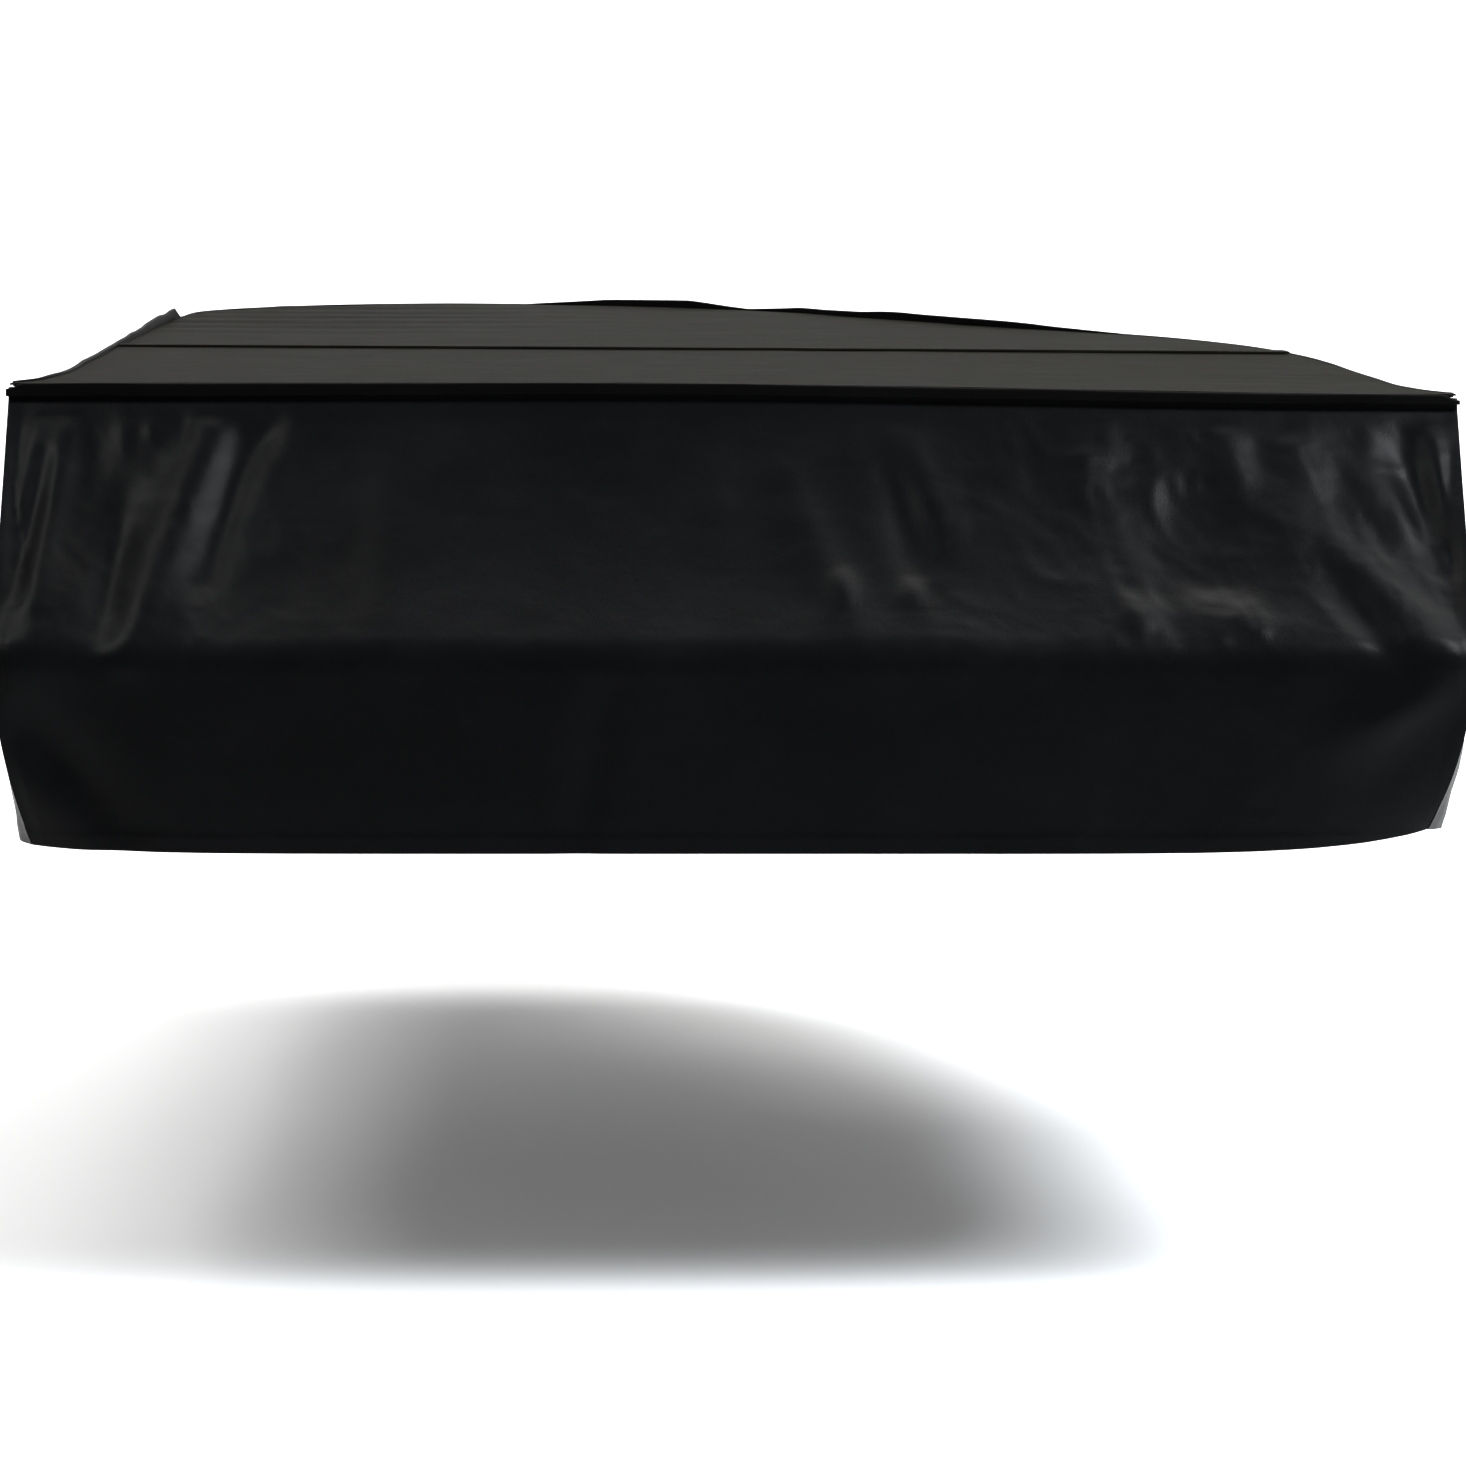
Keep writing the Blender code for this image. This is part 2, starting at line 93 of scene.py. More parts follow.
# Size of the broad and the fine crumples, and their height on the skirt, in metres
FRONT_BROAD_CRUMPLE = 0.075
FRONT_FINE_CRUMPLE = 0.030
SKIRT_BROAD_CRUMPLE = 0.11
SKIRT_BROAD_HEIGHT = 0.0022
SKIRT_FINE_CRUMPLE = 0.04
SKIRT_FINE_HEIGHT = 0.0008

# Height of the top's crosswise waves, its creases and the fine streaks at its left rear, in metres
TOP_WAVE_HEIGHT = 0.0006
TOP_CREASE_SIZE = 0.11
TOP_CREASE_HEIGHT = 0.0004
TOP_STREAK_HEIGHT = 0.0011

# What a flat skirt panel has more than its length round the case and its drop, for folds and hem
FLAT_EASE_ROUND = 0.15
FLAT_EASE_DOWN = 0.02

# Patterns of the cloth: clouds of colour, scuffs, crosswise streaks, grain, pores and soft dents,
# in repeats a metre, and the depth of the whole relief in metres
CLOUD_SCALE = 7.0
SCUFF_SCALE = (14.0, 40.0, 40.0)
STREAK_SCALE = (3.0, 90.0, 3.0)
GRAIN_SCALE = 900.0
PORE_SCALE = 2400.0
DENT_SCALE = 34.0
RELIEF_DEPTH = 0.0005
RELIEF_STRENGTH = 0.55

CAMERA_LENS = 102.6
CAMERA_PITCH = 9.146
FILL_STRENGTH = 0.38

# Columns: name, across and behind at the lid's edge, across and behind at the knee's height,
# how far the hem is drawn in, how far the hem rises
STATIONS = (
    ("left front corner", -0.764, 0.006, -0.745, -0.250, 0.044, 0.004),
    ("left ear back", -0.741, 0.038, -0.752, -0.190, 0.024, 0.002),
    ("left lid edge", -0.728, 0.100, -0.755, -0.100, 0.012, 0.000),
    ("spine front", -0.727, 0.300, -0.753, 0.160, 0.006, 0.000),
    ("spine middle", -0.731, 0.650, -0.750, 0.580, 0.004, 0.003),
    ("spine rear", -0.728, 1.150, -0.748, 1.140, 0.005, 0.000),
    ("rear left corner", -0.712, 1.270, -0.734, 1.285, 0.006, -0.003),
    ("tail slope", -0.610, 1.380, -0.622, 1.402, 0.004, 0.000),
    ("tail crown", -0.430, 1.450, -0.433, 1.474, 0.002, 0.004),
    ("tail right", -0.180, 1.400, -0.172, 1.424, 0.003, 0.001),
    ("tail shoulder", 0.040, 1.280, 0.055, 1.300, 0.005, -0.003),
    ("bent side high", 0.180, 1.110, 0.199, 1.124, 0.004, 0.000),
    ("bent side hollow", 0.330, 0.935, 0.350, 0.948, 0.002, 0.004),
    ("bent side low", 0.500, 0.765, 0.519, 0.776, 0.003, 0.001),
    ("bent side end", 0.605, 0.580, 0.629, 0.575, 0.005, -0.002),
    ("cheek rear", 0.665, 0.400, 0.692, 0.350, 0.006, 0.001),
    ("cheek", 0.700, 0.200, 0.729, 0.070, 0.008, 0.003),
    ("right lid edge", 0.722, 0.085, 0.747, -0.100, 0.016, 0.006),
    ("right ear back", 0.742, 0.038, 0.750, -0.190, 0.028, 0.012),
    ("right front corner", 0.764, 0.006, 0.745, -0.250, 0.052, 0.019),
)

# Main ridges (height above 0) and grooves (below 0) of the front drop, then its smaller creases.
# Columns: name, across and Z of its upper end, across and Z of its lower end, half width, height
FRONT_FOLDS = (
    ("left corner ridge", -0.700, -0.030, -0.712, -0.205, 0.013, 0.010),
    ("left edge ridge", -0.728, -0.030, -0.738, -0.150, 0.009, 0.006),
    ("left edge groove", -0.717, -0.070, -0.727, -0.200, 0.008, -0.006),
    ("left corner groove", -0.664, -0.060, -0.668, -0.180, 0.020, -0.006),
    ("left knee ridge", -0.650, -0.110, -0.735, -0.285, 0.030, 0.010),
    ("left valley", -0.630, -0.100, -0.640, -0.235, 0.014, -0.010),
    ("long left ridge", -0.548, -0.045, -0.612, -0.250, 0.018, 0.013),
    ("left groove", -0.508, -0.028, -0.540, -0.180, 0.013, -0.010),
    ("left short groove", -0.478, -0.028, -0.502, -0.070, 0.010, -0.005),
    ("left pucker 1", -0.640, -0.022, -0.636, -0.060, 0.008, 0.003),
    ("left pucker 2", -0.605, -0.022, -0.612, -0.052, 0.008, 0.003),
    ("left pucker 3", -0.580, -0.024, -0.572, -0.055, 0.007, -0.003),
    ("left middle ridge", -0.352, -0.070, -0.356, -0.240, 0.018, 0.004),
    ("left middle crease", -0.300, -0.050, -0.330, -0.140, 0.014, 0.002),
    ("middle ridge", -0.028, -0.060, -0.018, -0.160, 0.018, 0.003),
    ("right middle crease", 0.050, -0.080, 0.125, -0.230, 0.014, 0.005),
    ("middle bright spot", 0.108, -0.175, 0.118, -0.205, 0.010, 0.004),
    ("crumple ridge", 0.168, -0.050, 0.228, -0.135, 0.014, 0.006),
    ("crumple groove", 0.165, -0.075, 0.192, -0.190, 0.013, -0.006),
    ("crumple tip", 0.184, -0.178, 0.182, -0.205, 0.009, 0.005),
    ("right upper spur", 0.362, -0.055, 0.372, -0.085, 0.010, 0.004),
    ("right upper ridge", 0.520, -0.040, 0.528, -0.115, 0.013, 0.006),
    ("right dent", 0.440, -0.110, 0.500, -0.200, 0.036, -0.008),
    ("right low ridge a", 0.395, -0.205, 0.425, -0.222, 0.012, 0.005),
    ("right low ridge b", 0.460, -0.205, 0.535, -0.222, 0.014, 0.006),
    ("right patch ridge", 0.575, -0.050, 0.605, -0.100, 0.016, 0.005),
    ("right long ridge", 0.560, -0.110, 0.715, -0.245, 0.020, 0.012),
    ("right diagonal groove", 0.598, -0.150, 0.662, -0.243, 0.014, -0.010),
    ("right shoulder ridge", 0.655, -0.080, 0.725, -0.160, 0.013, 0.007),
    ("right corner groove", 0.700, -0.035, 0.722, -0.165, 0.013, -0.012),
    ("right corner ridge", 0.732, -0.025, 0.738, -0.140, 0.009, 0.007),
    ("left low groove", -0.715, -0.310, -0.628, -0.438, 0.022, -0.012),
    ("left low ridge", -0.722, -0.360, -0.640, -0.450, 0.018, 0.009),
    ("right low ridge c", 0.730, -0.270, 0.600, -0.345, 0.020, 0.008),
    ("right low ridge d", 0.710, -0.290, 0.640, -0.330, 0.012, 0.004),
    ("right low groove", 0.725, -0.310, 0.640, -0.400, 0.024, -0.006),
    ("middle low crease", -0.128, -0.290, -0.158, -0.450, 0.014, -0.004),
)

# Hanging folds of the skirt, fading out upwards.
# Columns: name, distance round the skirt from the left front corner, half width, height at the hem
SKIRT_FOLDS = (
    ("left corner hollow", 0.130, 0.060, -0.012),
    ("spine first crest", 0.300, 0.070, 0.010),
    ("spine hollow", 0.620, 0.090, -0.008),
    ("spine second crest", 0.900, 0.080, 0.011),
    ("spine long hollow", 1.230, 0.080, -0.010),
    ("rear corner crest", 1.560, 0.060, 0.012),
    ("tail hollow", 1.740, 0.050, -0.012),
    ("tail crest", 1.930, 0.060, 0.012),
    ("tail second hollow", 2.120, 0.060, -0.010),
    ("shoulder crest", 2.340, 0.060, 0.013),
    ("bent hollow", 2.560, 0.070, -0.012),
    ("bent crest", 2.780, 0.060, 0.010),
    ("bent second hollow", 2.990, 0.070, -0.012),
    ("bent end crest", 3.190, 0.060, 0.011),
    ("cheek hollow", 3.400, 0.070, -0.009),
    ("cheek crest", 3.640, 0.070, 0.009),
    ("right corner hollow", 3.860, 0.050, -0.008),
)

# Height of the standing seam above the top. Columns: distance round the lid's edge, height
WELT_HEIGHTS = (
    (0.00, 0.001),
    (0.10, 0.003),
    (0.60, 0.005),
    (1.05, 0.009),
    (1.27, 0.012),
    (1.33, 0.013),
    (1.37, 0.001),
    (2.05, 0.0005),
    (2.17, 0.008),
    (2.30, 0.010),
    (2.40, 0.002),
    (2.50, 0.007),
    (2.72, 0.011),
    (2.90, 0.008),
    (3.10, 0.001),
    (3.90, 0.001),
)

# Columns: CAD node, its first and last station, points round and points down, random seed
SKIRT_PANELS = (
    ("left_side_panel", "left front corner", "rear left corner", 250, 80, 11),
    ("tail_panel", "rear left corner", "tail shoulder", 150, 80, 12),
    ("bent_side_panel", "tail shoulder", "cheek rear", 180, 80, 13),
    ("right_side_panel", "cheek rear", "right front corner", 120, 80, 14),
)


# Columns: name, place, point that it faces, width and height, power, colour
LIGHTS = (
    ("left_soft_box", (-2.3, -1.2, 2.4), (-0.75, -0.7, -0.2), (0.9, 1.4), 55.0, (1.0, 1.0, 1.0)),
    ("right_soft_box", (2.4, -1.4, 2.2), (0.75, -0.7, -0.2), (1.0, 1.5), 230.0, (0.90, 0.95, 1.0)),
    ("backdrop_light", (0.0, 3.2, 4.2), (0.0, 6.0, 0.6), (9.0, 1.0), 560.0, (1.0, 1.0, 1.0)),
    ("overhead", (0.3, 2.4, 4.6), (0.3, 2.4, 0.0), (7.0, 3.0), 235.0, (1.0, 0.99, 0.97)),
)


class PianoCoverSizes(bpy.types.PropertyGroup):
    cloth: FloatProperty(
        name="Cloth thickness",
        description="Thickness of the coated cloth",
        default=CLOTH,
        unit="LENGTH",
    )
    crumple: FloatProperty(
        name="Crumple height",
        description="Height of the fine crumples of the front drop",
        default=0.0022,
        unit="LENGTH",
    )
    floor_drop: FloatProperty(
        name="Floor below the lid",
        description="Height of the lid above the floor",
        default=0.930,
        unit="LENGTH",
    )
    camera_distance: FloatProperty(
        name="Camera distance",
        description="Distance of the camera from the lid's front edge",
        default=4.40,
        unit="LENGTH",
    )
    camera_height: FloatProperty(
        name="Camera height",
        description="Height of the camera above the lid",
        default=0.337,
        unit="LENGTH",
    )


class PianoCoverColours(bpy.types.PropertyGroup):
    skirt: FloatVectorProperty(
        name="Skirt cloth",
        description="Colour of the front and side cloth",
        default=(0.0022, 0.0024, 0.0027),
        size=3,
        subtype="COLOR",
    )
    # The top is the same black cloth as the skirt. Its colour is painted paler and browner as a painted
    # reflection of the bright backdrop at the grazing view.
    top: FloatVectorProperty(
        name="Top cloth",
        description="Colour of the top cloth, paler with painted_reflection",
        default=(0.0090, 0.0085, 0.0068),
        size=3,
        subtype="COLOR",
    )
    welt: FloatVectorProperty(
        name="Welt cloth",
        description="Colour of the bands and standing seams",
        default=(0.0018, 0.0018, 0.0018),
        size=3,
        subtype="COLOR",
    )
    floor: FloatVectorProperty(
        name="Floor",
        description="Colour of the floor and the wall behind",
        default=(0.90, 0.90, 0.90),
        size=3,
        subtype="COLOR",
    )


class Value:
    """A shader socket that takes part in Python expressions: each operation adds a Math node."""

    def __init__(self, nodes, socket):
        self.nodes = nodes
        self.socket = socket

    def _math(self, operation, first, second=None, clamp=False):
        values = {0: first}
        if second is not None:
            values[1] = second
        settings = {"operation": operation, "use_clamp": clamp}
        return self.nodes.add("ShaderNodeMath", settings, values).out(0)

    def __add__(self, other):
        return self._math("ADD", self, other)

    def __radd__(self, other):
        return self._math("ADD", other, self)

    def __sub__(self, other):
        return self._math("SUBTRACT", self, other)

    def __rsub__(self, other):
        return self._math("SUBTRACT", other, self)

    def __mul__(self, other):
        return self._math("MULTIPLY", self, other)

    def __rmul__(self, other):
        return self._math("MULTIPLY", other, self)

    def clamped(self):
        return self._math("MULTIPLY", self, 1.0, clamp=True)

    def smooth(self, low, high):
        """0 below low, 1 above high, and a smooth rise between."""
        settings = {"interpolation_type": "SMOOTHSTEP"}
        values = {"Value": self, "From Min": low, "From Max": high}
        return self.nodes.add("ShaderNodeMapRange", settings, values).out("Result")


class Added:
    """A node just added; out gives one of its sockets as a Value."""

    def __init__(self, nodes, node):
        self.nodes = nodes
        self.node = node

    def out(self, name):
        return Value(self.nodes, self.node.outputs[name])


class Nodes:
    """The node tree of a new material, and the one way nodes are added to it."""

    def __init__(self, name):
        self.material = bpy.data.materials.new(name)
        self.material.use_nodes = True
        self.tree = self.material.node_tree
        self.shader = self.tree.nodes["Principled BSDF"]

    def add(self, kind, settings=None, values=None):
        node = self.tree.nodes.new(kind)
        for key, setting in (settings or {}).items():
            setattr(node, key, setting)
        self.put(node, values or {})
        return Added(self, node)

    def put(self, node, values):
        for key, value in values.items():
            if isinstance(value, Value):
                self.tree.links.new(value.socket, node.inputs[key])
            else:
                node.inputs[key].default_value = value

    def place(self):
        return self.add("ShaderNodeTexCoord").out("Object")

    def noise(self, vector, scale, detail=3.0, roughness=0.5):
        values = {"Vector": vector, "Scale": scale, "Detail": detail, "Roughness": roughness}
        return self.add("ShaderNodeTexNoise", None, values).out("Fac")

    def pebbles(self, vector, scale):
        values = {"Vector": vector, "Scale": scale}
        settings = {"feature": "SMOOTH_F1"}
        return self.add("ShaderNodeTexVoronoi", settings, values).out("Distance")

    def stretched(self, vector, scale):
        return self.add("ShaderNodeMapping", None, {"Vector": vector, "Scale": scale}).out("Vector")

    def mixed(self, share, first, second):
        settings = {"data_type": "RGBA"}
        node = self.add("ShaderNodeMix", settings, {0: share})
        self.put(node.node, {6: (*first, 1.0), 7: (*second, 1.0)})
        return node.out(2)

    def bumped(self, height, distance, strength):
        values = {"Height": height, "Distance": distance, "Strength": strength}
        return self.add("ShaderNodeBump", None, values).out("Normal")


def scaled(colour, times):
    return tuple(min(1.0, channel * times) for channel in colour)


def coated_cloth(name, colour, roughness, streaks, gloss):
    """Coated cloth: pebbled grain, soft colour clouds, scuffs, and fine crosswise streaks.

    streaks is the share of the relief that the crosswise streaks take, and gloss the specular level."""
    nodes = Nodes(name)
    place = nodes.place()
    clouds = nodes.noise(place, CLOUD_SCALE, 4.0, 0.55)
    scuffs = nodes.noise(nodes.stretched(place, SCUFF_SCALE), 1.0, 5.0, 0.65)
    lines = nodes.noise(nodes.stretched(place, STREAK_SCALE), 1.0, 3.0, 0.5)
    share = (clouds.smooth(0.30, 0.75) * 0.6 + scuffs.smooth(0.52, 0.80) * 0.4).clamped()
    tone = nodes.mixed(share, scaled(colour, 0.82), scaled(colour, 1.35))
    grain = nodes.pebbles(place, GRAIN_SCALE)
    pores = nodes.noise(place, PORE_SCALE, 2.0)
    dents = nodes.noise(place, DENT_SCALE, 3.0, 0.45)
    height = grain * 0.5 + pores * 0.2 + dents * (2.2 - streaks) + lines * (4.0 * streaks)
    rough = roughness + (scuffs - 0.5) * 0.16 + (clouds - 0.5) * 0.10 + (grain - 0.5) * 0.05
    nodes.put(nodes.shader, {"Base Color": tone, "Roughness": rough})
    nodes.put(nodes.shader, {"Normal": nodes.bumped(height, RELIEF_DEPTH, RELIEF_STRENGTH)})
    nodes.put(nodes.shader, {"Specular IOR Level": gloss})
    return nodes.material


def plain_stage(name, colour):
    nodes = Nodes(name)
    drift = nodes.noise(nodes.place(), 0.8, 2.0)
    shade = nodes.mixed(drift, scaled(colour, 0.995), scaled(colour, 1.005))
    nodes.put(nodes.shader, {"Base Color": shade, "Roughness": 0.95, "Specular IOR Level": 0.0})
    return nodes.material


def soft_step(value):
    """0 below 0, 1 above 1, and a smooth rise between."""
    part = np.clip(value, 0.0, 1.0)
    return part * part * (3.0 - 2.0 * part)


def smooth_rows(rows, knots, where):
    """Values of a smooth curve through the rows: a cubic between each pair, with shared slopes."""
    slopes = np.gradient(rows, knots, axis=0)
    index = np.clip(np.searchsorted(knots, where, side="right") - 1, 0, len(knots) - 2)
    span = (knots[index + 1] - knots[index])[:, None]
    part = ((where - knots[index]) / span[:, 0])[:, None]
    first = rows[index] * (1.0 + 2.0 * part) * (1.0 - part) ** 2
    second = rows[index + 1] * part**2 * (3.0 - 2.0 * part)
    leave = slopes[index] * span * part * (1.0 - part) ** 2
    arrive = slopes[index + 1] * span * part**2 * (part - 1.0)
    return first + second + leave + arrive


STATION_ROWS = np.array([row[1:] for row in STATIONS])
KNEE_STEPS = np.hypot(np.diff(STATION_ROWS[:, 2]), np.diff(STATION_ROWS[:, 3]))
STATION_KNOTS = np.concatenate(([0.0], np.cumsum(KNEE_STEPS)))


def station_at(name):
    return STATION_KNOTS[[row[0] for row in STATIONS].index(name)]


def lid_edge(where, inset=0.0):
    """Plan points (across, behind) of the lid's edge, moved inwards by inset."""
    edge = smooth_rows(STATION_ROWS[:, :2], STATION_KNOTS, where)
    along = np.gradient(edge, axis=0)
    along /= np.linalg.norm(along, axis=1)[:, None]
    return edge + inset * np.column_stack((along[:, 1], -along[:, 0]))


def turning_places(first, last, count):
    """Places from first to last round the case, closer together where the lid's edge turns."""
    fine = np.linspace(first, last, 900)
    edge = smooth_rows(STATION_ROWS[:, :2], STATION_KNOTS, fine)
    heading = np.unwrap(np.arctan2(*np.gradient(edge, axis=0).T))
    load = np.cumsum(1.0 / len(fine) + 0.2 * np.abs(np.gradient(heading)))
    load = (load - load[0]) / (load[-1] - load[0])
    return np.interp(np.linspace(0.0, 1.0, count), load, fine)


def drop_profile(parts):
    """Reach in front of the lid's edge, and Z, down the front drop, with the knee rounded.

    parts are shares of the way from the top edge (0) by the knee (1) to the hem (2)."""
    knee = np.array((KNEE_REACH, KNEE_Z))
    slope = knee - np.array(DROP_BELOW_BAND)
    before = knee - KNEE_ROUND * slope / np.linalg.norm(slope)
    after = np.array((KNEE_REACH, KNEE_Z - KNEE_ROUND))
    turn = np.linspace(0.0, 1.0, 9)[:, None]
    arc = before * (1.0 - turn) ** 2 + 2.0 * turn * (1.0 - turn) * knee + after * turn**2
    path = np.vstack((DROP_TOP, DROP_BELOW_BAND, arc, (KNEE_REACH, HEM_Z)))
    lengths = np.concatenate(([0.0], np.cumsum(np.hypot(*np.diff(path, axis=0).T))))
    want = np.interp(parts, (0.0, 1.0, 2.0), (0.0, lengths[6], lengths[-1]))
    return np.interp(want, lengths, path[:, 0]), np.interp(want, lengths, path[:, 1])


def segment_folds(across, height, folds):
    """Sum of soft ridges and grooves: each is a bell over the distance from its centre line,
    lower towards its ends as a half sine."""
    total = np.zeros_like(across)
    for _name, x0, z0, x1, z1, width, rise in folds:
        run = np.array((x1 - x0, z1 - z0))
        part = ((across - x0) * run[0] + (height - z0) * run[1]) / run.dot(run)
        near = np.clip(part, 0.0, 1.0)
        gap = np.hypot(across - x0 - near * run[0], height - z0 - near * run[1])
        fade = 0.25 + 0.75 * np.sin(np.pi * np.clip(0.12 + 0.76 * part, 0.0, 1.0))
        total += FOLD_RISE * rise * fade * np.exp(-((gap / (FOLD_SPREAD * width)) ** 2))
    return total


def soft_noise(u, v, seed):
    """Smooth noise from 0 to 1: random values on a unit lattice, smoothly blended between."""
    lattice = np.random.default_rng(seed).random((64, 64))
    column = np.floor(u).astype(int)
    row = np.floor(v).astype(int)
    du = soft_step(u - column)
    dv = soft_step(v - row)
    column %= 63
    row %= 63
    near = lattice[row, column] * (1.0 - du) + lattice[row, column + 1] * du
    far = lattice[row + 1, column] * (1.0 - du) + lattice[row + 1, column + 1] * du
    return near * (1.0 - dv) + far * dv


def crumples(u, v, size, seed):
    """Flat facets between sharp ridges, -1 to 1: noise bent by noise, folded at its middle."""
    bend_u = soft_noise(u / size * 0.6 + 7.0, v / size * 0.6 + 3.0, seed + 1) * 1.6
    bend_v = soft_noise(u / size * 0.6 + 1.0, v / size * 0.6 + 9.0, seed + 2) * 1.6
    raw = soft_noise(u / size + bend_u + 20.0, v / size + bend_v + 20.0, seed)
    fine = soft_noise(u / size * 2.3 + bend_v + 11.0, v / size * 2.3 + bend_u + 17.0, seed + 3)
    ridged = 1.0 - 2.0 * np.abs(2.0 * raw - 1.0)
    return 0.75 * ridged + 0.25 * (1.0 - 2.0 * np.abs(2.0 * fine - 1.0))


def settle(grid):
    """The top sags a little towards its right front corner, and all cloth near it follows."""
    behind = grid[..., 1] - LID_FRONT_Y
    near_top = np.clip(1.0 + grid[..., 2] / 0.25, 0.0, 1.0)
    dip = RIGHT_DIP * soft_step((grid[..., 0] + 0.15) / 0.9) * soft_step(1.0 - behind / 0.6)
    moved = grid.copy()
    moved[..., 2] -= dip * near_top
    return moved


def normals(grid):
    """Unit normals of a grid of points: the cross product of its two directions."""
    cross = np.cross(np.gradient(grid, axis=0), np.gradient(grid, axis=1))
    return cross / np.linalg.norm(cross, axis=2)[..., None]


def surface_area(grid):
    """Area of a grid of points, from the cross product at each of its cells."""
    first = grid[1:, :-1] - grid[:-1, :-1]
    second = grid[:-1, 1:] - grid[:-1, :-1]
    return float(np.linalg.norm(np.cross(first, second), axis=2).sum())


def new_object(name, points, quads, finish):
    mesh = bpy.data.meshes.new(name)
    mesh.vertices.add(len(points))
    mesh.vertices.foreach_set("co", np.asarray(points, np.float32).ravel())
    mesh.loops.add(quads.size)
    mesh.loops.foreach_set("vertex_index", quads.astype(np.int32).ravel())
    mesh.polygons.add(len(quads))
    mesh.polygons.foreach_set("loop_start", np.arange(0, quads.size, 4, dtype=np.int32))
    mesh.update(calc_edges=True)
    mesh.validate()
    mesh.materials.append(finish)
    mesh.shade_smooth()
    mesh.set_sharp_from_angle(angle=np.radians(55.0))
    thing = bpy.data.objects.new(name, mesh)
    bpy.context.scene.collection.objects.link(thing)
    return thing


def cloth_sheet(name, outer, thickness, finish):
    """A closed sheet: the outer grid, a copy moved inwards along the normals, and its four edges."""
    inner = outer - thickness * normals(outer)
    rows, columns = outer.shape[:2]
    index = np.arange(rows * columns).reshape(rows, columns)
    face = np.stack((index[:-1, :-1], index[1:, :-1], index[1:, 1:], index[:-1, 1:]), axis=2)
    face = face.reshape(-1, 4)
    count = rows * columns
    border = np.concatenate((index[:-1, 0], index[-1, :-1], index[:0:-1, -1], index[0, :0:-1]))
    ahead = np.roll(border, -1)
    edges = np.stack((ahead, border, count + border, count + ahead), axis=1)
    quads = np.concatenate((face, count + face[:, ::-1], edges))
    points = np.concatenate((outer.reshape(-1, 3), inner.reshape(-1, 3)))
    return new_object(name, points, quads, finish)


def cloth_strip(name, centres, sides, ups, section, finish):
    """A closed strip: a section (sideways, upwards) carried along its centres, its ends drawn shut."""
    sideways = section[..., :1] * sides[:, None, :]
    upwards = section[..., 1:] * ups[:, None, :]
    rings = centres[:, None, :] + sideways + upwards
    middle = rings.mean(axis=1, keepdims=True)
    first = middle[:1] + 0.02 * (rings[:1] - middle[:1])
    last = middle[-1:] + 0.02 * (rings[-1:] - middle[-1:])
    rings = np.concatenate((first, rings, last))
    count, around = rings.shape[:2]
    index = np.arange(count * around).reshape(count, around)
    ahead = np.roll(index, -1, axis=1)
    quads = np.stack((index[:-1], ahead[:-1], ahead[1:], index[1:]), axis=2).reshape(-1, 4)
    half = around // 2
    caps = []
    for ring, order in ((index[0], -1), (index[-1], 1)):
        for k in range(half - 1):
            cap = (ring[k], ring[k + 1], ring[around - 2 - k], ring[around - 1 - k])
            caps.append(cap[::order])
    quads = np.concatenate((quads, np.array(caps)))
    return new_object(name, rings.reshape(-1, 3), quads, finish)


def skirt_point_grid(where, reach, height):
    """Skirt points at places round the case and heights down the drop, before any folds."""
    rows = smooth_rows(STATION_ROWS, STATION_KNOTS, where)
    down = (reach / KNEE_REACH).clip(0.0, 1.0)[None, :, None]
    below = ((KNEE_Z - height) / (KNEE_Z - HEM_Z)).clip(0.0, 1.0)[None, :, None]
    top = rows[:, None, 0:2]
    knee = rows[:, None, 2:4]
    inward = np.array((0.0, PLAN_CENTRE_BEHIND)) - knee
    inward /= np.linalg.norm(inward, axis=2)[..., None]
    plan = top + (knee - top) * down + inward * rows[:, None, 4:5] * below**2
    lift = rows[:, None, 5] * below[..., 0] ** 2
    return np.dstack((plan[..., 0], plan[..., 1] + LID_FRONT_Y, height[None, :] + lift))


def corner_fade(where):
    """0 at the front corners, rising to 1 a short way round, so that panels meet there."""
    to_right = STATION_KNOTS[-1] - where
    return (soft_step(where / CORNER_FADE) * soft_step(to_right / CORNER_FADE))[:, None]


def skirt_folds(where, height):
    """Hanging folds: crests and hollows round the skirt that grow from the lid's edge down."""
    growth = soft_step(height / HEM_Z)[None, :]
    total = np.zeros((len(where), len(height)))
    for _name, place, width, rise in SKIRT_FOLDS:
        total += rise * np.exp(-(((where - place) / width) ** 2))[:, None] * growth
    return total * corner_fade(where)


def hem_step(from_hem):
    """Outward step of the turned hem, with its stitched line drawn in a little."""
    fold = HEM_STEP * soft_step((HEM_DEPTH - from_hem) / 0.0035)
    stitch = HEM_STEP * np.exp(-(((from_hem - HEM_DEPTH + 0.004) / 0.0022) ** 2))
    return fold - stitch


def down_parts(count):
    """Shares down the drop, closer together at the band, the knee and the hem."""
    even = np.linspace(0.0, 2.0, count)
    return even - 0.07 * np.sin(2.0 * np.pi * even) / np.pi


def cloth_colours():
    return bpy.context.scene.piano_cover_colours


def cloth_thickness():
    return bpy.context.scene.piano_cover_sizes.cloth


def finish_piece(piece, node, area):
    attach(piece, "root")
    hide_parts(node)


def chain_share(chain):
    """Share of the chain's length at each of its points."""
    lengths = np.concatenate(([0.0], np.cumsum(np.hypot(*np.diff(chain, axis=0).T))))
    return lengths / lengths[-1]


